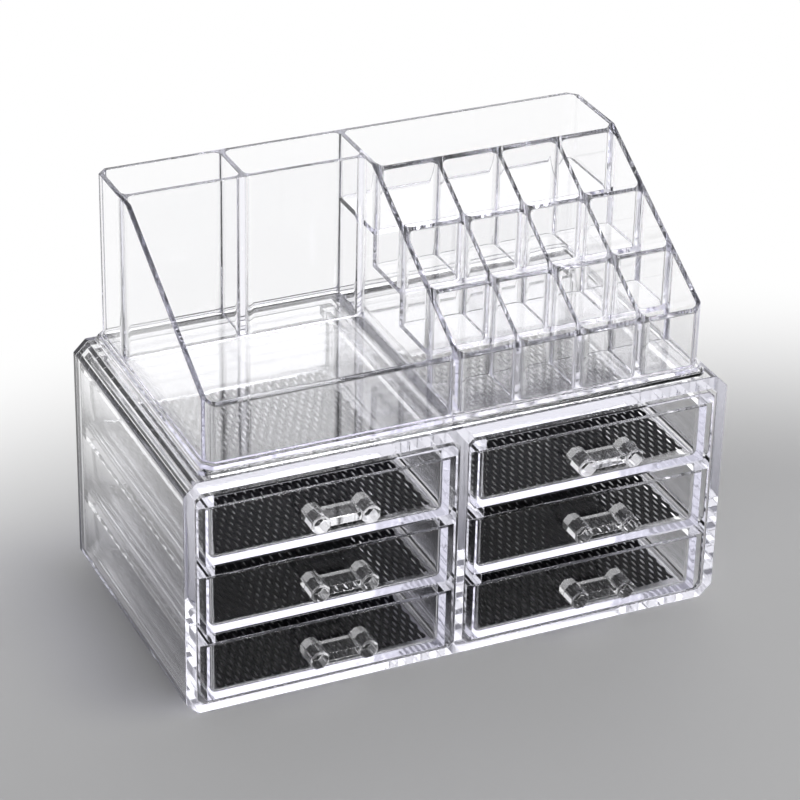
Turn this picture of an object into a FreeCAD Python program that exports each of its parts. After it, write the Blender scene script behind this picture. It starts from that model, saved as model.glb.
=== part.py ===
import FreeCAD, Part
import math
import os
import Sketcher

# A clear plastic make-up organizer: an octagonal case with two stacks of drawers, and a tray with
# sloping sides that stands on top of it. Millimetres, +X to the right, front towards -Y, +Z up.
# The origin is level with the feet, under the middle of the whole outline, handles included.

SIZES = {
    # Case: a sleeve with cut corners, closed by a flat back
    "case_width": 238.0,
    "case_depth": 128.0,
    "case_height": 106.4,
    "case_corner": 5.4,
    "side_wall": 4.8,
    "centre_wall": 3.8,
    "top_wall": 5.5,
    "floor_wall": 4.1,
    "back_thick": 3.0,
    "bay_corner": 2.4,
    "foot_height": 1.6,
    "foot_width": 7.0,
    "foot_tip_width": 5.0,
    "foot_side_inset": 12.5,
    "foot_end_inset": 4.2,
    # Rack: the thin inner frame of each bay, which carries the drawers
    "rack_gap": 0.4,
    "rack_plate": 1.2,
    "rack_recess": 0.5,
    "rack_back_gap": 0.3,
    "rack_top_gap": 1.7,
    "shelf_thick": 1.1,
    "ledge_height": 0.9,
    "ledge_width": 5.5,
    "guide_height": 3.2,
    "guide_gap": 0.3,
    "rail_width": 6.5,
    "rail_height": 4.1,
    # Drawer
    "drawer_headroom": 0.5,
    "drawer_side_gap": 2.5,
    "drawer_back_gap": 3.0,
    "drawer_wall": 2.2,
    "drawer_floor": 1.9,
    "drawer_round": 2.5,
    # Handle: two faceted posts and the bar between them
    "handle_reach": 12.0,
    "handle_spacing": 21.2,
    "handle_shift": 2.3,
    "post_width": 8.0,
    "post_bevel": 0.7,
    "bar_thick": 3.8,
    "bar_gap": 1.0,
    "bar_setback": 1.4,
    # Liner: the loose net on each drawer floor
    "liner_thick": 0.8,
    "liner_margin": 0.6,
    "strand_width": 1.8,
    # Tray
    "tray_height": 77.0,
    "tray_front_height": 29.1,
    "tray_front_setback": 1.4,
    "tray_back_setback": 0.5,
    "tray_side_setback": 8.2,
    "tray_corner": 4.0,
    "tray_wall": 2.2,
    "tray_round": 3.0,
    "plinth_flare": 2.6,
    "plinth_step": 1.3,
    "plinth_low": 2.0,
    "plinth_high": 2.2,
    "skirt_wall": 2.2,
    "tray_floor": 2.2,
    "rack_left": -2.8,
    "tall_split": -54.8,
    "tall_depth": 24.2,
    "long_depth": 35.6,
    "slope_overlap": 1.4,
    "cell_wall": 1.8,
    "stair_rise": 14.6,
    # How far a cut runs past the face that it opens
    "overrun": 1.0,
}
DRAWER_LEVELS = ("bottom", "middle", "top")
SIDES = {"left": -1, "right": 1}
NET_COLUMNS = 10
NET_ROWS = 12
CELL_COLUMNS = 4
CELL_ROWS = 3
HANDLE_SHARE = 0.595
OCTAGON_SHARE = math.tan(math.pi / 8)
SAME_PLACE = 1e-6

doc = FreeCAD.newDocument("makeup_organizer")
dims = doc.addObject("Spreadsheet::Sheet", "dims")
for row, (alias, size) in enumerate(SIZES.items(), start=1):
    dims.set(f"A{row}", alias.replace("_", " "))
    dims.set(f"B{row}", str(size))
    dims.setAlias(f"B{row}", alias)
doc.recompute()

# Places that several pieces share, each worked out from the sheet
half_width = "(dims.case_width / 2)"
front_y = "((dims.handle_reach - dims.case_depth) / 2)"
back_y = "((dims.handle_reach + dims.case_depth) / 2)"
case_bottom = "dims.foot_height"
case_top = "(dims.foot_height + dims.case_height)"
bay_floor = "(dims.foot_height + dims.floor_wall)"
bay_ceiling = f"({case_top} - dims.top_wall)"
bay_inner = "(dims.centre_wall / 2)"
bay_outer = f"({half_width} - dims.side_wall)"
bay_centre = f"(({bay_inner} + {bay_outer}) / 2)"
rack_half = f"(({bay_outer} - {bay_inner}) / 2 - dims.rack_gap)"
cell_half = f"({rack_half} - dims.rack_plate)"
rack_height = f"({bay_ceiling} - {bay_floor} - dims.rack_top_gap)"
shelf_pitch = f"(({rack_height} - dims.ledge_height) / {len(DRAWER_LEVELS)})"
drawer_half = f"({cell_half} - dims.drawer_side_gap)"
drawer_height = f"({shelf_pitch} - dims.shelf_thick - dims.rail_height - dims.drawer_headroom)"
drawer_depth = "(dims.case_depth - dims.back_thick - dims.drawer_back_gap)"
liner_edge = "(dims.drawer_wall + dims.drawer_round + dims.liner_margin)"


def number(expression):
    """The value of an expression on the sheet."""
    return float(dims.evalExpression(expression))


def new_body(label):
    body = doc.addObject("PartDesign::Body", label)
    body.Label = label
    return body


def place(piece, x, y, z):
    """Tie a piece's place to the sheet."""
    for axis, expression in zip("xyz", (x, y, z)):
        piece.setExpression(f"Placement.Base.{axis}", expression)


def rectangle(left, right, low, high):
    return [(left, low), (right, low), (right, high), (left, high)]


def cut_corners(left, right, low, high, corner):
    """A rectangle whose four corners are cut off at 45 degrees."""
    return [
        (f"{left} + {corner}", low), (f"{right} - {corner}", low),
        (right, f"{low} + {corner}"), (right, f"{high} - {corner}"),
        (f"{right} - {corner}", high), (f"{left} + {corner}", high),
        (left, f"{high} - {corner}"), (left, f"{low} + {corner}"),
    ]


def outline(body, name, plane, level, loops):
    """A sketch of closed straight-sided loops, with every corner tied to the sheet.

    The level is measured along the plane's own normal: +Z on XY, -Y on XZ and +X on YZ.
    """
    sketch = body.newObject("Sketcher::SketchObject", f"{body.Name}_{name}")
    origin_plane = next(item for item in body.Origin.OriginFeatures if item.Role == plane)
    sketch.AttachmentSupport = [(origin_plane, "")]
    sketch.MapMode = "FlatFace"
    sketch.setExpression("AttachmentOffset.Base.z", level)
    for loop in loops:
        first = sketch.GeometryCount
        corners = [FreeCAD.Vector(number(across), number(up), 0) for across, up in loop]
        ends = corners[1:] + corners[:1]
        for start, end in zip(corners, ends):
            sketch.addGeometry(Part.LineSegment(start, end), False)
        for step, (across, up) in enumerate(loop):
            line = first + step
            following = first + (step + 1) % len(loop)
            sketch.addConstraint(Sketcher.Constraint("Coincident", line, 2, following, 1))
            for kind, expression in (("DistanceX", across), ("DistanceY", up)):
                rule = Sketcher.Constraint(kind, -1, 1, line, 1, number(expression))
                sketch.setExpression(f"Constraints[{sketch.addConstraint(rule)}]", expression)
    return sketch


def pad(body, sketch, length):
    feature = body.newObject("PartDesign::Pad", f"{sketch.Name}_pad")
    feature.Profile = sketch
    feature.setExpression("Length", length)
    doc.recompute()
    return feature


def pocket(body, sketch, depth, upward=False):
    """Cut a sketch into the body, against its normal, or along it where upward is set."""
    before = body.Shape.Volume
    feature = body.newObject("PartDesign::Pocket", f"{sketch.Name}_pocket")
    feature.Profile = sketch
    feature.Reversed = upward
    feature.setExpression("Length", depth)
    doc.recompute()
    if body.Shape.Volume >= before:
        raise RuntimeError(f"{feature.Name} cuts nothing")
    return feature


def treat_edges(body, kind, base, chosen, size_name, size):
    """Fillet or chamfer the edges of a feature that a test picks out."""
    names = [f"Edge{index}" for index, edge in enumerate(base.Shape.Edges, start=1) if chosen(edge)]
    feature = body.newObject(f"PartDesign::{kind}", f"{base.Name}_{kind.lower()}")
    feature.Base = (base, names)
    feature.setExpression(size_name, size)
    doc.recompute()
    return feature


def near(first, second):
    return math.isclose(first, second, abs_tol=SAME_PLACE)


def upright_at(corners):
    """A test for upright edges that stand on one of the given corners."""
    spots = [(number(across), number(back)) for across, back in corners]

    def chosen(edge):
        low, high = (vertex.Point for vertex in (edge.Vertexes[0], edge.Vertexes[-1]))
        upright = near(low.x, high.x) and near(low.y, high.y) and not near(low.z, high.z)
        return upright and any(near(low.x, across) and near(low.y, back) for across, back in spots)
    return chosen


def flat_at(axis, expression):
    """A test for edges that lie in one plane across an axis."""
    level = number(expression)

    def chosen(edge):
        return all(near(getattr(vertex.Point, axis), level) for vertex in edge.Vertexes)
    return chosen


def case_outline():
    return cut_corners(f"-{half_width}", half_width, case_bottom, case_top, "dims.case_corner")


def case_shell():
    """The sleeve: top, floor, sides and the wall between the two bays, all in one extrusion."""
    body = new_body("case_shell")
    loops = [case_outline()]
    loops.append(cut_corners(bay_inner, bay_outer, bay_floor, bay_ceiling, "dims.bay_corner"))
    loops.append(cut_corners(f"-{bay_outer}", f"-{bay_inner}", bay_floor, bay_ceiling, "dims.bay_corner"))
    sketch = outline(body, "profile", "XZ_Plane", f"dims.back_thick - {back_y}", loops)
    pad(body, sketch, "dims.case_depth - dims.back_thick")
    return body


def case_back():
    """The flat plate that closes the sleeve, with the same cut corners."""
    body = new_body("case_back")
    sketch = outline(body, "profile", "XZ_Plane", f"-{back_y}", [case_outline()])
    pad(body, sketch, "dims.back_thick")
    return body


def case_feet():
    """Four small tapered feet, one near each corner of the case floor."""
    feet = []
    across = f"({half_width} - dims.foot_side_inset)"
    front = f"({front_y} + dims.foot_end_inset)"
    back = f"({back_y} - dims.foot_end_inset)"
    for x, y in ((f"-{across}", front), (across, front), (f"-{across}", back), (across, back)):
        foot = doc.addObject("Part::Cone", "foot")
        foot.setExpression("Radius1", "dims.foot_tip_width / 2")
        foot.setExpression("Radius2", "dims.foot_width / 2")
        foot.setExpression("Height", "dims.foot_height")
        place(foot, x, y, "0")
        feet.append(foot)
    group = doc.addObject("Part::Compound", "case_feet")
    group.Label = "case_feet"
    group.Links = feet
    return group


def drawer_rack(side):
    """The inner frame of one bay: side plates, shelves, guides under and rails over the drawers.

    Seen from the front, each drawer's room has sloping guides in its lower corners, which centre
    the drawer, and square rails in its upper corners, which keep it from tipping when it is out.
    """
    body = new_body(f"drawer_rack_{side}")
    guide = "(dims.drawer_side_gap - dims.guide_gap)"
    corner = "dims.bay_corner"

    def room_sides(level):
        """Corners of a drawer's room, from its lower right guide round over the top to its lower left."""
        floor = f"(dims.ledge_height + {level} * {shelf_pitch})"
        ceiling = f"({floor} + {shelf_pitch} - dims.shelf_thick)"
        rail = f"({ceiling} - dims.rail_height)"
        shoulder = f"({cell_half} - dims.rail_width)"
        right = [
            (f"{cell_half} - {guide}", floor), (cell_half, f"{floor} + dims.guide_height"),
            (cell_half, rail), (shoulder, rail), (shoulder, ceiling),
        ]
        left = [(f"-({across})", up) for across, up in reversed(right)]
        return right + left

    ledge = f"({cell_half} - dims.ledge_width)"
    frame = [
        (f"{rack_half} - {corner}", "0"), (rack_half, corner),
        (rack_half, f"{rack_height} - {corner}"), (f"{rack_half} - {corner}", rack_height),
        (f"{corner} - {rack_half}", rack_height), (f"-{rack_half}", f"{rack_height} - {corner}"),
        (f"-{rack_half}", corner), (f"{corner} - {rack_half}", "0"),
        (f"-{ledge}", "0"), (f"-{ledge}", "dims.ledge_height"),
    ]
    frame += reversed(room_sides(0))
    frame += [(ledge, "dims.ledge_height"), (ledge, "0")]
    loops = [frame] + [room_sides(level) for level in range(1, len(DRAWER_LEVELS))]
    sketch = outline(body, "profile", "XZ_Plane", "0", loops)
    pad(body, sketch, "dims.case_depth - dims.back_thick - dims.rack_recess - dims.rack_back_gap")
    behind = f"{back_y} - dims.back_thick - dims.rack_back_gap"
    place(body, f"{SIDES[side]} * {bay_centre}", behind, bay_floor)
    return body


def drawer_place(side, level):
    """Where a drawer's front stands: its middle, its front face and its underside."""
    underside = f"{bay_floor} + dims.ledge_height + {DRAWER_LEVELS.index(level)} * {shelf_pitch}"
    return f"{SIDES[side]} * {bay_centre}", front_y, underside


def drawer_box(side, level):
    """One open box with rounded inner edges, front and sides in one moulding."""
    body = new_body(f"drawer_box_{side}_{level}")
    outside = rectangle(f"-{drawer_half}", drawer_half, "0", drawer_depth)
    inner_half = f"({drawer_half} - dims.drawer_wall)"
    inside = rectangle(f"-{inner_half}", inner_half, "dims.drawer_wall", f"{drawer_depth} - dims.drawer_wall")
    pad(body, outline(body, "outside", "XY_Plane", "0", [outside]), drawer_height)
    opening = outline(body, "inside", "XY_Plane", drawer_height, [inside])
    cut = pocket(body, opening, f"{drawer_height} - dims.drawer_floor")
    upright = upright_at(inside)
    on_floor = flat_at("z", "dims.drawer_floor")

    def inner_edge(edge):
        return upright(edge) or on_floor(edge)

    treat_edges(body, "Fillet", cut, inner_edge, "Radius", "dims.drawer_round")
    place(body, *drawer_place(side, level))
    return body


def drawer_handle(side, level):
    """One moulded pull, a little right of the middle: two octagonal posts with a flat bar between."""
    body = new_body(f"drawer_handle_{side}_{level}")
    reach = "(dims.handle_spacing / 2)"
    half_bar = "(dims.bar_thick / 2)"
    bar = rectangle(f"-{reach}", reach, f"-{half_bar}", half_bar)
    pad(body, outline(body, "bar", "XZ_Plane", "dims.bar_gap", [bar]),
        "dims.handle_reach - dims.bar_setback - dims.bar_gap")
    half_post = "(dims.post_width / 2)"
    corner = f"({half_post} * {1 - OCTAGON_SHARE})"
    posts = []
    for middle in (f"-{reach}", reach):
        posts.append(cut_corners(f"{middle} - {half_post}", f"{middle} + {half_post}",
                                 f"-{half_post}", half_post, corner))
    solid = pad(body, outline(body, "posts", "XZ_Plane", "0", posts), "dims.handle_reach")
    treat_edges(body, "Chamfer", solid, flat_at("y", "-dims.handle_reach"), "Size", "dims.post_bevel")
    x, y, underside = drawer_place(side, level)
    place(body, f"{x} + dims.handle_shift", y, f"{underside} + {HANDLE_SHARE} * {drawer_height}")
    return body


def net_sheet():
    """A thin sheet with staggered six-sided gaps; its front edge runs along X, its middle is at 0."""
    half = number(f"{drawer_half} - {liner_edge}")
    length = number(f"{drawer_depth} - 2 * {liner_edge}")
    strand = number("dims.strand_width")
    across_pitch = (2 * half - strand) / (NET_COLUMNS + 1 / 2)
    along_pitch = (length - strand) / NET_ROWS
    gap_half = (across_pitch - strand) / 2
    gap_rise = (along_pitch - strand) / 2
    shoulder = gap_half / 2

    def loop(points):
        corners = [FreeCAD.Vector(across, along, 0) for across, along in points]
        return Part.makePolygon(corners + corners[:1])

    wires = [loop([(-half, 0), (half, 0), (half, length), (-half, length)])]
    for net_row in range(NET_ROWS):
        stagger = (net_row % 2) * across_pitch / 2
        along = strand / 2 + (net_row + 1 / 2) * along_pitch
        for column in range(NET_COLUMNS):
            across = -half + strand / 2 + (column + 1 / 2) * across_pitch + stagger
            wires.append(loop([
                (across - gap_half, along), (across - shoulder, along - gap_rise),
                (across + shoulder, along - gap_rise), (across + gap_half, along),
                (across + shoulder, along + gap_rise), (across - shoulder, along + gap_rise),
            ]))
    sheet = Part.makeFace(wires, "Part::FaceMakerCheese")
    return sheet.extrude(FreeCAD.Vector(0, 0, number("dims.liner_thick")))


def drawer_liner(side, level, net):
    """A loose net on the drawer's floor, clear of the rounded edges."""
    label = f"drawer_liner_{side}_{level}"
    liner = doc.addObject("Part::Feature", label)
    liner.Label = label
    liner.Shape = net
    x, y, underside = drawer_place(side, level)
    place(liner, x, f"{y} + {liner_edge}", f"{underside} + dims.drawer_floor")
    return liner


def upper_tray():
    """The moulded tray, from its stepped foot to its sloping sides.

    On the left are two tall rooms at the back and one open room in front. On the right is a long
    room at the back, and in front of it rows of cells that step down to the front. The floors of
    the right half are a stair, hollow underneath. Depths are measured back from the case's front.
    """
    body = new_body("upper_tray")
    half = f"({half_width} - dims.tray_side_setback - dims.plinth_flare)"
    front = "(dims.tray_front_setback + dims.plinth_flare)"
    back = "(dims.case_depth - dims.tray_back_setback - dims.plinth_flare)"
    inner_back = f"({back} - dims.tray_wall)"
    inner_front = f"({front} + dims.tray_wall)"
    inner_half = f"({half} - dims.tray_wall)"
    floor = "(dims.plinth_low + dims.plinth_high)"

    def ring(flare):
        return cut_corners(f"-({half} + {flare})", f"({half} + {flare})", f"({front} - {flare})",
                           f"({back} + {flare})", "dims.tray_corner")

    pad(body, outline(body, "foot", "XY_Plane", "0", [ring("dims.plinth_flare")]), "dims.plinth_low")
    step = outline(body, "step", "XY_Plane", "dims.plinth_low", [ring("dims.plinth_step")])
    pad(body, step, "dims.plinth_high")
    walls = outline(body, "walls", "XY_Plane", floor, [ring("0")])
    pad(body, walls, f"dims.tray_height - {floor}")

    # Rooms and cells, each cut down from the rim to its own floor
    tall_front = f"({inner_back} - dims.tall_depth)"
    long_front = f"({inner_back} - dims.long_depth)"
    left_wall = f"({tall_front} - dims.tray_wall)"
    right_wall = f"({long_front} - dims.tray_wall)"
    half_split = "(dims.tray_wall / 2)"
    rack_inner = "(dims.rack_left + dims.tray_wall)"
    left_rooms = [
        rectangle(f"-{inner_half}", f"(dims.tall_split - {half_split})", tall_front, inner_back),
        rectangle(f"(dims.tall_split + {half_split})", "dims.rack_left", tall_front, inner_back),
        rectangle(f"-{inner_half}", "dims.rack_left", inner_front, left_wall),
    ]
    long_room = [rectangle(rack_inner, inner_half, long_front, inner_back)]
    cell_wide = f"(({inner_half} - {rack_inner} - {CELL_COLUMNS - 1} * dims.cell_wall) / {CELL_COLUMNS})"
    cell_deep = f"(({right_wall} - {inner_front} - {CELL_ROWS - 1} * dims.cell_wall) / {CELL_ROWS})"

    def row_front(cell_row):
        return f"({inner_front} + {cell_row} * ({cell_deep} + dims.cell_wall))"

    def cells(cell_row):
        loops = []
        for column in range(CELL_COLUMNS):
            left = f"({rack_inner} + {column} * ({cell_wide} + dims.cell_wall))"
            low = row_front(cell_row)
            loops.append(rectangle(left, f"{left} + {cell_wide}", low, f"{low} + {cell_deep}"))
        return loops

    rooms = [("left_rooms", left_rooms, 0), ("long_room", long_room, CELL_ROWS)]
    rooms += [(f"cells_{cell_row}", cells(cell_row), cell_row) for cell_row in range(CELL_ROWS)]
    for name, loops, stair in rooms:
        depth = f"dims.tray_height - {floor} - {stair} * dims.stair_rise"
        last_cut = pocket(body, outline(body, name, "XY_Plane", "dims.tray_height", loops), depth)
    corners = [corner for name, loops, stair in rooms for loop in loops for corner in loop]
    treat_edges(body, "Fillet", last_cut, upright_at(corners), "Radius", "dims.tray_round")

    # The one slope that the side walls and the cell walls are cut to. It meets the rim a little
    # behind the long room's front wall.
    reach = f"({half} + dims.overrun)"
    above = "(dims.tray_height + dims.overrun)"
    crest = f"({long_front} + dims.slope_overlap)"
    fall = f"((dims.tray_height - dims.tray_front_height) / ({crest} - {front}))"
    wedge = [
        (f"{front} - dims.overrun", f"(dims.tray_front_height - dims.overrun * {fall})"),
        (f"{crest} + dims.overrun / {fall}", above),
        (f"{front} - dims.overrun", above),
    ]
    pocket(body, outline(body, "slope", "YZ_Plane", reach, [wedge]), f"2 * {reach}")

    # The hollow underside: a shallow recess within the skirt, and the space under the stair
    rim = "(dims.skirt_wall - dims.plinth_flare)"
    recess = rectangle(f"-({half} - {rim})", f"{half} - {rim}", f"{front} + {rim}", f"{back} - {rim}")
    pocket(body, outline(body, "recess", "XY_Plane", "0", [recess]), f"{floor} - dims.tray_floor", True)
    for stair in range(1, CELL_ROWS + 1):
        low = row_front(stair) if stair < CELL_ROWS else long_front
        hollow = rectangle(rack_inner, inner_half, low, inner_back)
        height = f"{floor} + {stair} * dims.stair_rise - dims.tray_floor"
        pocket(body, outline(body, f"hollow_{stair}", "XY_Plane", "0", [hollow]), height, True)
    place(body, "0", front_y, case_top)
    return body


pieces = [case_shell(), case_back(), case_feet(), upper_tray()]
net = net_sheet()
for side in SIDES:
    pieces.append(drawer_rack(side))
    for level in DRAWER_LEVELS:
        pieces += [drawer_box(side, level), drawer_handle(side, level), drawer_liner(side, level, net)]
doc.recompute()

for item in doc.Objects:
    if "Invalid" in item.State or "Error" in item.State:
        raise RuntimeError(f"{item.Label} failed: {item.State}")
for piece in pieces:
    if piece.Shape.isNull() or not piece.Shape.isValid():
        raise RuntimeError(f"{piece.Label} has no valid shape")

os.makedirs("parts", exist_ok=True)
for piece in pieces:
    piece.Shape.exportStep(f"parts/{piece.Label}.step")
    print(f"{piece.Label}: {len(piece.Shape.Solids)} solid(s), {piece.Shape.Volume:.0f} mm3")
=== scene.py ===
import math
import bmesh
import bpy
import numpy as np
from mathutils import Matrix, Vector


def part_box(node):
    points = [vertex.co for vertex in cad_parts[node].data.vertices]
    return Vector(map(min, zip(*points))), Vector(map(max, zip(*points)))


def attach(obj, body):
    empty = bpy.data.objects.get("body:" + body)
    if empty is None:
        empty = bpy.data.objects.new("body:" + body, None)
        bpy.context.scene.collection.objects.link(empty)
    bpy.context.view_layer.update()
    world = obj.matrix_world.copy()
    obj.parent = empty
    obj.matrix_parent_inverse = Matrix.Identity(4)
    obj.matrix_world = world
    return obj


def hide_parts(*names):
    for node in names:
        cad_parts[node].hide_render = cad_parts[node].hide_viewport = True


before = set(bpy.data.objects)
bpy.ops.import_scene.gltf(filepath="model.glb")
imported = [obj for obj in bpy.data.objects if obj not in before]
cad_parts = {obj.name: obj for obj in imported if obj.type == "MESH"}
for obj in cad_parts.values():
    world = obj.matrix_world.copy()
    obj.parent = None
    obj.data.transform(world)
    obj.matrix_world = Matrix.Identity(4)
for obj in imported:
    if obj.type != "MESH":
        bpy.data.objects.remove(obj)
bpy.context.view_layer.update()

# The case is one clear sleeve with cut corners, with a wall down its middle, and a flat plate that
# closes it at the back. Both are moulded in thick clear plastic and keep the tool's polish. Light
# that runs along the plates comes out at their ends with a trace of violet.
MM = 0.001
CASE_EDGE = 0.3 * MM
CASE_TINT = (0.79, 0.78, 0.965, 1.0)
CASE_TINT_DENSITY = 3.0
BACK_TINT_DENSITY = 12.0
CASE_SHINE = (0.012, 0.05)
CASE_WAVE = (26 * MM, 0.05 * MM)
CLEAR_COLOR = (0.998, 0.998, 1.0, 1.0)
LAMP_COLOR = (0.945, 0.945, 0.955, 1.0)
PLASTIC_IOR = 1.49
GLARE_COLOR = (0.5, 0.5, 0.51, 1.0)
CORNER_JOIN = 0.002 * MM
AIR_FILM = 0.015 * MM
FLAT_ANGLE = math.radians(0.3)
EDGE_ANGLE = math.radians(35)
EDGE_STEPS = 2


def stand(mesh):
    """Puts a mesh into the scene as an object of the same name."""
    piece = bpy.data.objects.new(mesh.name, mesh)
    bpy.context.scene.collection.objects.link(piece)
    return piece


def moulding(node, body, edge, material):
    """A copy of a node's solid with its sharp edges rounded to a small radius.

    Corners in one place become one and triangles in one plane become one face. The skin is drawn
    in by a hair, so that mouldings that touch keep the film of air that real ones have between them.
    """
    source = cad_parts[node].data
    corners = np.empty(len(source.vertices) * 3)
    source.vertices.foreach_get("co", corners)
    triangles = np.empty(len(source.loops), int)
    source.loops.foreach_get("vertex_index", triangles)
    mesh = bpy.data.meshes.new(f"{node}_clear")
    mesh.from_pydata(corners.reshape(-1, 3), [], triangles.reshape(-1, 3))
    shape = bmesh.new()
    shape.from_mesh(mesh)
    bmesh.ops.remove_doubles(shape, verts=shape.verts, dist=CORNER_JOIN)
    bmesh.ops.dissolve_limit(shape, angle_limit=FLAT_ANGLE, verts=shape.verts, edges=shape.edges)
    shape.to_mesh(mesh)
    shape.free()
    mesh.shade_smooth()
    mesh.materials.append(material)
    piece = stand(mesh)
    rounding = piece.modifiers.new("edges", "BEVEL")
    rounding.width = edge
    rounding.segments = EDGE_STEPS
    rounding.limit_method = "ANGLE"
    rounding.angle_limit = EDGE_ANGLE
    rounding.use_clamp_overlap = False
    rounding.harden_normals = True
    film = piece.modifiers.new("air_film", "DISPLACE")
    film.strength = -AIR_FILM
    film.mid_level = 0
    flats = piece.modifiers.new("flats", "WEIGHTED_NORMAL")
    flats.keep_sharp = True
    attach(piece, body)
    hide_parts(node)


SOFT_DETAIL = 1.0
PATCHES_PER_METRE = 45.0
PATCH_DETAIL = 3.0
PATCH_RANGE = (0.35, 0.9)
RUB_TURN = (0.3, 0.5, 0.7)
RUBS_PER_METRE = (2600.0, 60.0, 60.0)
RUB_RANGE = (0.62, 0.8)
RUB_SHARE = 0.5


def moulded_skin():
    """The skin of a clear moulding, as a group that gives a normal and a roughness.

    Slow waves, as plastic has that shrank in its tool, tilt the normal. The roughness runs between
    two values by a soft patchy noise, with fine straight rub marks laid over it.
    """
    group = bpy.data.node_groups.new("moulded_skin", "ShaderNodeTree")
    group.interface.new_socket("Place", in_out="INPUT", socket_type="NodeSocketVector")
    for name in ("Waves per metre", "Wave height", "Smoothest", "Roughest"):
        group.interface.new_socket(name, in_out="INPUT", socket_type="NodeSocketFloat")
    group.interface.new_socket("Normal", in_out="OUTPUT", socket_type="NodeSocketVector")
    group.interface.new_socket("Roughness", in_out="OUTPUT", socket_type="NodeSocketFloat")
    add, link = group.nodes.new, group.links.new
    given = add("NodeGroupInput")
    wave = add("ShaderNodeTexNoise")
    wave.inputs["Detail"].default_value = SOFT_DETAIL
    tilt = add("ShaderNodeBump")
    patches = add("ShaderNodeTexNoise")
    patches.inputs["Scale"].default_value = PATCHES_PER_METRE
    patches.inputs["Detail"].default_value = PATCH_DETAIL
    stretch = add("ShaderNodeMapping")
    stretch.inputs["Rotation"].default_value = RUB_TURN
    stretch.inputs["Scale"].default_value = RUBS_PER_METRE
    rubs = add("ShaderNodeTexNoise")
    rubs.inputs["Scale"].default_value = 1.0
    rubs.inputs["Detail"].default_value = SOFT_DETAIL
    faint = add("ShaderNodeMapRange")
    faint.inputs["From Min"].default_value = RUB_RANGE[0]
    faint.inputs["From Max"].default_value = RUB_RANGE[1]
    both = add("ShaderNodeMath")
    both.operation = "MULTIPLY_ADD"
    both.inputs[1].default_value = RUB_SHARE
    spread = add("ShaderNodeMapRange")
    spread.inputs["From Min"].default_value = PATCH_RANGE[0]
    spread.inputs["From Max"].default_value = PATCH_RANGE[1]
    result = add("NodeGroupOutput")
    link(given.outputs["Place"], wave.inputs["Vector"])
    link(given.outputs["Waves per metre"], wave.inputs["Scale"])
    link(wave.outputs["Fac"], tilt.inputs["Height"])
    link(given.outputs["Wave height"], tilt.inputs["Distance"])
    link(tilt.outputs["Normal"], result.inputs["Normal"])
    link(given.outputs["Place"], patches.inputs["Vector"])
    link(given.outputs["Place"], stretch.inputs["Vector"])
    link(stretch.outputs["Vector"], rubs.inputs["Vector"])
    link(rubs.outputs["Fac"], faint.inputs["Value"])
    link(faint.outputs["Result"], both.inputs[0])
    link(patches.outputs["Fac"], both.inputs[2])
    link(both.outputs["Value"], spread.inputs["Value"])
    link(given.outputs["Smoothest"], spread.inputs["To Min"])
    link(given.outputs["Roughest"], spread.inputs["To Max"])
    link(spread.outputs["Result"], result.inputs["Roughness"])
    return group


skin = moulded_skin()


def clear_plastic(name, tint, tint_density, shine, wave, clearness=1.0):
    """Clear plastic that bends light, tints it along its depth, and lets lamps shine through.

    Its glare, the reflection seen head-on, is about half of what bare plastic of this kind has.
    What is missing from a clearness of one scatters light, as a slight milkiness.
    """
    material = bpy.data.materials.new(name)
    material.use_nodes = True
    nodes, links = material.node_tree.nodes, material.node_tree.links
    nodes.clear()
    place = nodes.new("ShaderNodeTexCoord")
    surface = nodes.new("ShaderNodeGroup")
    surface.node_tree = skin
    surface.inputs["Waves per metre"].default_value = 1 / wave[0]
    surface.inputs["Wave height"].default_value = wave[1]
    surface.inputs["Smoothest"].default_value = shine[0]
    surface.inputs["Roughest"].default_value = shine[1]
    plastic = nodes.new("ShaderNodeBsdfPrincipled")
    plastic.inputs["Base Color"].default_value = CLEAR_COLOR
    plastic.inputs["IOR"].default_value = PLASTIC_IOR
    plastic.inputs["Specular Tint"].default_value = GLARE_COLOR
    plastic.inputs["Transmission Weight"].default_value = clearness
    lamplight = nodes.new("ShaderNodeBsdfTransparent")
    lamplight.inputs["Color"].default_value = LAMP_COLOR
    rays = nodes.new("ShaderNodeLightPath")
    choice = nodes.new("ShaderNodeMixShader")
    depth = nodes.new("ShaderNodeVolumeAbsorption")
    depth.inputs["Color"].default_value = tint
    depth.inputs["Density"].default_value = tint_density
    output = nodes.new("ShaderNodeOutputMaterial")
    links.new(place.outputs["Object"], surface.inputs["Place"])
    links.new(surface.outputs["Normal"], plastic.inputs["Normal"])
    links.new(surface.outputs["Roughness"], plastic.inputs["Roughness"])
    links.new(rays.outputs["Is Shadow Ray"], choice.inputs["Fac"])
    links.new(plastic.outputs["BSDF"], choice.inputs[1])
    links.new(lamplight.outputs["BSDF"], choice.inputs[2])
    links.new(choice.outputs["Shader"], output.inputs["Surface"])
    links.new(depth.outputs["Volume"], output.inputs["Volume"])
    return material


case_plastic = clear_plastic("case_plastic", CASE_TINT, CASE_TINT_DENSITY, CASE_SHINE, CASE_WAVE)
moulding("case_shell", "case", CASE_EDGE, case_plastic)
back_plastic = clear_plastic("back_plastic", CASE_TINT, BACK_TINT_DENSITY, CASE_SHINE, CASE_WAVE)
moulding("case_back", "case", CASE_EDGE, back_plastic)

# Four small tapered feet stand under the case near its corners. They are clear pegs, a little duller
# than the case because they carry it and rub.
FOOT_EDGE = 0.15 * MM
FOOT_SHINE = (0.04, 0.14)
FOOT_WAVE = (6 * MM, 0.02 * MM)
foot_plastic = clear_plastic("foot_plastic", CASE_TINT, CASE_TINT_DENSITY, FOOT_SHINE, FOOT_WAVE)
moulding("case_feet", "case", FOOT_EDGE, foot_plastic)

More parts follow.
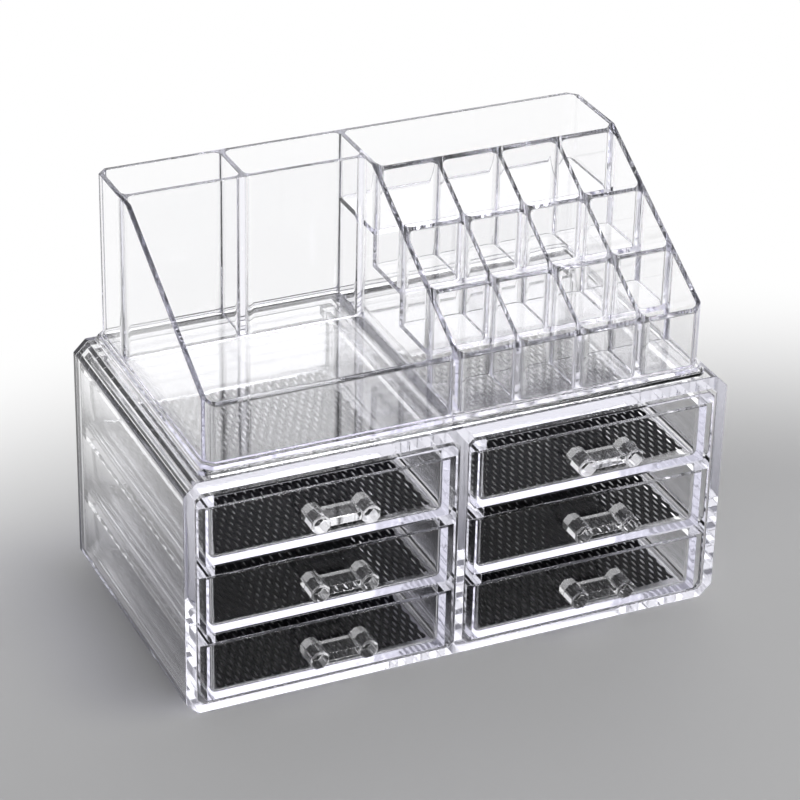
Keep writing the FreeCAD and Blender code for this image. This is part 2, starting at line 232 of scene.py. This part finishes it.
# A rack slides into each bay and carries three drawers: two thin side plates, a shelf under each
# drawer with raised edges, and hold-down rails. It is a thin clear moulding with slightly wavy faces.
RACK_EDGE = 0.2 * MM
RACK_TINT_DENSITY = 4.0
RACK_SHINE = (0.015, 0.06)
RACK_WAVE = (14 * MM, 0.05 * MM)
SIDES = ("left", "right")
LEVELS = ("bottom", "middle", "top")
rack_plastic = clear_plastic("rack_plastic", CASE_TINT, RACK_TINT_DENSITY, RACK_SHINE, RACK_WAVE)
for side in SIDES:
    moulding(f"drawer_rack_{side}", "case", RACK_EDGE, rack_plastic)

# Six open drawer boxes, each one clear moulding that is rounded inside, along its floor and in its
# corners. The walls are thin, so the flow of the plastic shows as a gentle waviness.
DRAWER_EDGE = 0.25 * MM
DRAWER_TINT_DENSITY = 6.0
DRAWER_SHINE = (0.012, 0.055)
DRAWER_WAVE = (12 * MM, 0.09 * MM)
drawer_plastic = clear_plastic(
    "drawer_plastic", CASE_TINT, DRAWER_TINT_DENSITY, DRAWER_SHINE, DRAWER_WAVE
)
drawers = [(side, level) for side in SIDES for level in LEVELS]
for side, level in drawers:
    body = f"drawer_{side}_{level}"
    moulding(f"drawer_box_{side}_{level}", body, DRAWER_EDGE, drawer_plastic)

# A handle is fixed to each drawer front: two posts with cut facets, and a flat bar between them. It
# is a small solid moulding, clear and bright like cut glass.
HANDLE_EDGE = 0.22 * MM
HANDLE_TINT_DENSITY = 4.0
HANDLE_SHINE = (0.01, 0.03)
HANDLE_WAVE = (5 * MM, 0.012 * MM)
HANDLE_CLEARNESS = 0.99
handle_plastic = clear_plastic(
    "handle_plastic", CASE_TINT, HANDLE_TINT_DENSITY, HANDLE_SHINE, HANDLE_WAVE, HANDLE_CLEARNESS
)
for side, level in drawers:
    body = f"drawer_{side}_{level}"
    moulding(f"drawer_handle_{side}_{level}", body, HANDLE_EDGE, handle_plastic)

# A loose black net lies on each drawer floor. Its yarns run from front to back in waves, each
# against the next, and a coat of matt foam joins them where they meet. It is cut by hand.
YARN_COUNT = 46
YARN_WIDTH = 2.05 * MM
YARN_SWING = 0.44 * MM
YARN_PERIOD = 8.0 * MM
RINGS_PER_PERIOD = 10
YARN_SIDES = 6
KNOT_SWELL_SHARE = 0.12
NET_WANDER = 0.3 * MM
NET_SKEW = {
    "left_bottom": 1.6 * MM, "left_middle": 2.4 * MM, "left_top": 3.0 * MM,
    "right_bottom": 3.4 * MM, "right_middle": 2.0 * MM, "right_top": 3.8 * MM,
}
NET_BLACK = (0.002, 0.002, 0.003, 1.0)
NET_GREY = (0.010, 0.009, 0.012, 1.0)
FOAM_GLOSS = 0.05
FOAM_SHINE = (0.5, 0.85)
PORES_PER_METRE = 2800.0
PORE_DETAIL = 3.0
PORE_DEPTH = 0.12 * MM
PORE_STRENGTH = 0.6
WEAR_PER_METRE = 160.0


def net_yarns(low, high, skew, seed):
    """All yarns of one net, as rings of points, in one array.

    A yarn swings as a sine of its length, each against its neighbour, and is an ellipse across, a
    little thicker where two meet. Slow sines bend the whole net, and its front is cut askew.
    """
    rings = int(round((high.y - low.y) / YARN_PERIOD * RINGS_PER_PERIOD)) + 1
    along = np.linspace(0, 1, rings)[None, :, None]
    yarn = np.arange(YARN_COUNT)[:, None, None]
    turn = np.linspace(0, 2 * math.pi, YARN_SIDES, endpoint=False)[None, None, :]
    reach = YARN_SWING + YARN_WIDTH / 2
    across = yarn / (YARN_COUNT - 1)
    front = low.y + skew * across ** 2
    y = front + (high.y - front) * along
    swing = np.sin(2 * math.pi * (high.y - y) / YARN_PERIOD + math.pi / 2 + math.pi * yarn)
    middle = low.x + reach + (high.x - low.x - 2 * reach) * across
    x = middle + YARN_SWING * swing
    slow = 2 * math.pi * (y - low.y) / (high.y - low.y)
    x = x + NET_WANDER * np.sin(slow + seed) * 4 * across * (1 - across)
    swell = 1 - KNOT_SWELL_SHARE + KNOT_SWELL_SHARE * swing ** 2
    half_height = (high.z - low.z) / 2
    points = np.empty((YARN_COUNT, rings, YARN_SIDES, 3))
    points[..., 0] = x + YARN_WIDTH / 2 * swell * np.cos(turn)
    points[..., 1] = np.broadcast_to(y, points.shape[:3])
    points[..., 2] = low.z + half_height + half_height * swell * np.sin(turn)
    return points


def net_mesh(name, points):
    """Joins each yarn's rings by four-sided faces and closes its two ends."""
    yarns, rings, sides = points.shape[:3]
    index = np.arange(yarns * rings * sides).reshape(yarns, rings, sides)
    next_side = np.roll(index, -1, axis=2)
    quads = np.stack([index[:, :-1], next_side[:, :-1], next_side[:, 1:], index[:, 1:]], axis=-1)
    faces = quads.reshape(-1, 4).tolist() + index[:, 0, ::-1].tolist() + index[:, -1].tolist()
    mesh = bpy.data.meshes.new(name)
    mesh.from_pydata(points.reshape(-1, 3), [], faces)
    mesh.shade_smooth()
    return mesh


def net_foam():
    """Matt black foam: fine pores raise it and are painted darker in their hollows as painted shade,
    and wider patches are a little greyer.
    """
    material = bpy.data.materials.new("net_foam")
    material.use_nodes = True
    nodes, links = material.node_tree.nodes, material.node_tree.links
    foam = nodes["Principled BSDF"]
    foam.inputs["Specular IOR Level"].default_value = FOAM_GLOSS
    place = nodes.new("ShaderNodeTexCoord")
    pores = nodes.new("ShaderNodeTexNoise")
    pores.inputs["Scale"].default_value = PORES_PER_METRE
    pores.inputs["Detail"].default_value = PORE_DETAIL
    patches = nodes.new("ShaderNodeTexNoise")
    patches.inputs["Scale"].default_value = WEAR_PER_METRE
    shade = nodes.new("ShaderNodeMix")
    shade.data_type = "RGBA"
    shade.inputs["A"].default_value = NET_BLACK
    shade.inputs["B"].default_value = NET_GREY
    pore_shade_and_wear = nodes.new("ShaderNodeMath")
    pore_shade_and_wear.operation = "MULTIPLY"
    gloss = nodes.new("ShaderNodeMapRange")
    gloss.inputs["To Min"].default_value = FOAM_SHINE[0]
    gloss.inputs["To Max"].default_value = FOAM_SHINE[1]
    relief = nodes.new("ShaderNodeBump")
    relief.inputs["Distance"].default_value = PORE_DEPTH
    relief.inputs["Strength"].default_value = PORE_STRENGTH
    links.new(place.outputs["Object"], pores.inputs["Vector"])
    links.new(place.outputs["Object"], patches.inputs["Vector"])
    # The colour runs from black to dark grey by the pore noise times the patch noise. The black in the
    # pore hollows is painted shade, and the greyer patches are the foam's own tone.
    links.new(pores.outputs["Fac"], pore_shade_and_wear.inputs[0])
    links.new(patches.outputs["Fac"], pore_shade_and_wear.inputs[1])
    links.new(pore_shade_and_wear.outputs["Value"], shade.inputs["Factor"])
    links.new(shade.outputs["Result"], foam.inputs["Base Color"])
    links.new(pores.outputs["Fac"], gloss.inputs["Value"])
    links.new(gloss.outputs["Result"], foam.inputs["Roughness"])
    links.new(pores.outputs["Fac"], relief.inputs["Height"])
    links.new(relief.outputs["Normal"], foam.inputs["Normal"])
    return material


foam_black = net_foam()
for seed, (side, level) in enumerate(drawers):
    node = f"drawer_liner_{side}_{level}"
    low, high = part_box(node)
    mesh = net_mesh(f"net_{side}_{level}", net_yarns(low, high, NET_SKEW[f"{side}_{level}"], seed))
    mesh.materials.append(foam_black)
    net = stand(mesh)
    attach(net, f"drawer_{side}_{level}")
    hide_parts(node)

# The tray stands loose on the case: one thin clear moulding with a stepped foot, two tall rooms and
# an open room on the left, and stepped cells with a long room behind them on the right.
TRAY_EDGE = 0.25 * MM
TRAY_TINT_DENSITY = 8.0
TRAY_SHINE = (0.012, 0.05)
TRAY_WAVE = (16 * MM, 0.05 * MM)
tray_plastic = clear_plastic("tray_plastic", CASE_TINT, TRAY_TINT_DENSITY, TRAY_SHINE, TRAY_WAVE)
moulding("upper_tray", "tray", TRAY_EDGE, tray_plastic)

# The studio: a pale grey floor that runs out to a white surround, lit by a soft lamp overhead, a broad
# one behind and a weak one in front. The room is white behind the object and dark before it.
FLOOR_SIZE = 12.0
FLOOR_GREY = (0.42, 0.42, 0.425, 1.0)
FLOOR_ROUGHNESS = 0.6
GREY_CENTRE = (0.0, -0.35, 0.0)
GREY_REACH = (0.41, 0.62)
WHITE = (1.0, 1.0, 1.0, 1.0)
ROOM_FRONT = 0.05
ROOM_BACK = 1.0
ROOM_FADE = (-0.2, 0.45)
AMBIENT = 0.45
LAMPS = {
    "lamp_overhead": ((0.4, -0.3, 1.35), (0, 0, 0.05), 0.42, 8.0),
    "lamp_behind": ((0.8, 1.75, 1.25), (0, 0, 0.1), 1.5, 5.0),
    "lamp_front": ((-1.2, -0.9, 1.0), (0, 0, 0.1), 0.5, 4.0),
}


def seen_by_eye(nodes, links, rays):
    """One for rays from the camera and for those that glossy or clear surfaces pass on, else zero."""
    seen = rays.outputs["Is Camera Ray"]
    for kind in ("Is Glossy Ray", "Is Transmission Ray"):
        either = nodes.new("ShaderNodeMath")
        either.operation = "MAXIMUM"
        links.new(seen, either.inputs[0])
        links.new(rays.outputs[kind], either.inputs[1])
        seen = either.outputs["Value"]
    return seen


floor_mesh = bpy.data.meshes.new("floor")
half = FLOOR_SIZE / 2
corners = [(-half, -half, 0), (half, -half, 0), (half, half, 0), (-half, half, 0)]
floor_mesh.from_pydata(corners, [], [(0, 1, 2, 3)])
floor = stand(floor_mesh)
paper = bpy.data.materials.new("floor_paper")
paper.use_nodes = True
nodes, links = paper.node_tree.nodes, paper.node_tree.links
matt = nodes["Principled BSDF"]
matt.inputs["Base Color"].default_value = FLOOR_GREY
matt.inputs["Roughness"].default_value = FLOOR_ROUGHNESS
place = nodes.new("ShaderNodeTexCoord")
distance = nodes.new("ShaderNodeVectorMath")
distance.operation = "DISTANCE"
distance.inputs[1].default_value = GREY_CENTRE
fade = nodes.new("ShaderNodeMapRange")
fade.interpolation_type = "SMOOTHSTEP"
fade.inputs["From Min"].default_value = GREY_REACH[0]
fade.inputs["From Max"].default_value = GREY_REACH[1]
glow = nodes.new("ShaderNodeEmission")
glow.inputs["Strength"].default_value = ROOM_BACK
rays = nodes.new("ShaderNodeLightPath")
shown = nodes.new("ShaderNodeMath")
shown.operation = "MULTIPLY"
far = nodes.new("ShaderNodeMixShader")
links.new(place.outputs["Object"], distance.inputs[0])
links.new(distance.outputs["Value"], fade.inputs["Value"])
links.new(seen_by_eye(nodes, links, rays), shown.inputs[0])
links.new(fade.outputs["Result"], shown.inputs[1])
links.new(shown.outputs["Value"], far.inputs["Fac"])
links.new(matt.outputs["BSDF"], far.inputs[1])
links.new(glow.outputs["Emission"], far.inputs[2])
links.new(far.outputs["Shader"], nodes["Material Output"].inputs["Surface"])
floor_mesh.materials.append(paper)

room = bpy.data.worlds.new("room")
bpy.context.scene.world = room
room.use_nodes = True
nodes, links = room.node_tree.nodes, room.node_tree.links
nodes.clear()
rays = nodes.new("ShaderNodeLightPath")
soft = nodes.new("ShaderNodeBackground")
soft.inputs["Color"].default_value = WHITE
soft.inputs["Strength"].default_value = AMBIENT
way = nodes.new("ShaderNodeTexCoord")
parts = nodes.new("ShaderNodeSeparateXYZ")
fade = nodes.new("ShaderNodeMapRange")
fade.interpolation_type = "SMOOTHSTEP"
fade.inputs["From Min"].default_value = ROOM_FADE[0]
fade.inputs["From Max"].default_value = ROOM_FADE[1]
fade.inputs["To Min"].default_value = ROOM_FRONT
fade.inputs["To Max"].default_value = ROOM_BACK
direct = nodes.new("ShaderNodeMath")
direct.operation = "MAXIMUM"
surround = nodes.new("ShaderNodeBackground")
surround.inputs["Color"].default_value = WHITE
choice = nodes.new("ShaderNodeMixShader")
output = nodes.new("ShaderNodeOutputWorld")
links.new(way.outputs["Generated"], parts.inputs["Vector"])
links.new(parts.outputs["Y"], fade.inputs["Value"])
links.new(fade.outputs["Result"], direct.inputs[0])
links.new(rays.outputs["Is Camera Ray"], direct.inputs[1])
links.new(direct.outputs["Value"], surround.inputs["Strength"])
links.new(seen_by_eye(nodes, links, rays), choice.inputs["Fac"])
links.new(soft.outputs["Background"], choice.inputs[1])
links.new(surround.outputs["Background"], choice.inputs[2])
links.new(choice.outputs["Shader"], output.inputs["Surface"])

for name, (spot, aim, size, power) in LAMPS.items():
    lamp = bpy.data.lights.new(name, "AREA")
    lamp.shape = "SQUARE"
    lamp.size = size
    lamp.energy = power
    holder = bpy.data.objects.new(name, lamp)
    holder.location = spot
    holder.rotation_euler = (Vector(aim) - Vector(spot)).to_track_quat("-Z", "Y").to_euler()
    bpy.context.scene.collection.objects.link(holder)

# The camera stands to the left and above, with a long lens and a trace of roll.
CAMERA_PLACE = Vector((-0.47679, -1.02299, 0.71464))
CAMERA_AIM = Vector((-0.00087, 0.00198, 0.09))
CAMERA_ROLL = math.radians(1.329)
CAMERA_LENS = 140.8
CAMERA_SENSOR = 36.0
camera_data = bpy.data.cameras.new("camera")
camera_data.sensor_width = CAMERA_SENSOR
camera_data.lens = CAMERA_LENS
camera = bpy.data.objects.new("camera", camera_data)
turn = (CAMERA_AIM - CAMERA_PLACE).to_track_quat("-Z", "Y").to_matrix().to_4x4()
camera.matrix_world = Matrix.Translation(CAMERA_PLACE) @ turn @ Matrix.Rotation(CAMERA_ROLL, 4, "Z")
bpy.context.scene.collection.objects.link(camera)
bpy.context.scene.camera = camera

# Light passes many clear walls on its way, so it may bend and bounce often.
LIGHT_BOUNCES = 32
cycles = bpy.context.scene.cycles
cycles.max_bounces = LIGHT_BOUNCES
cycles.transmission_bounces = LIGHT_BOUNCES
cycles.glossy_bounces = LIGHT_BOUNCES
cycles.transparent_max_bounces = LIGHT_BOUNCES
bpy.context.scene.view_settings.view_transform = "Standard"
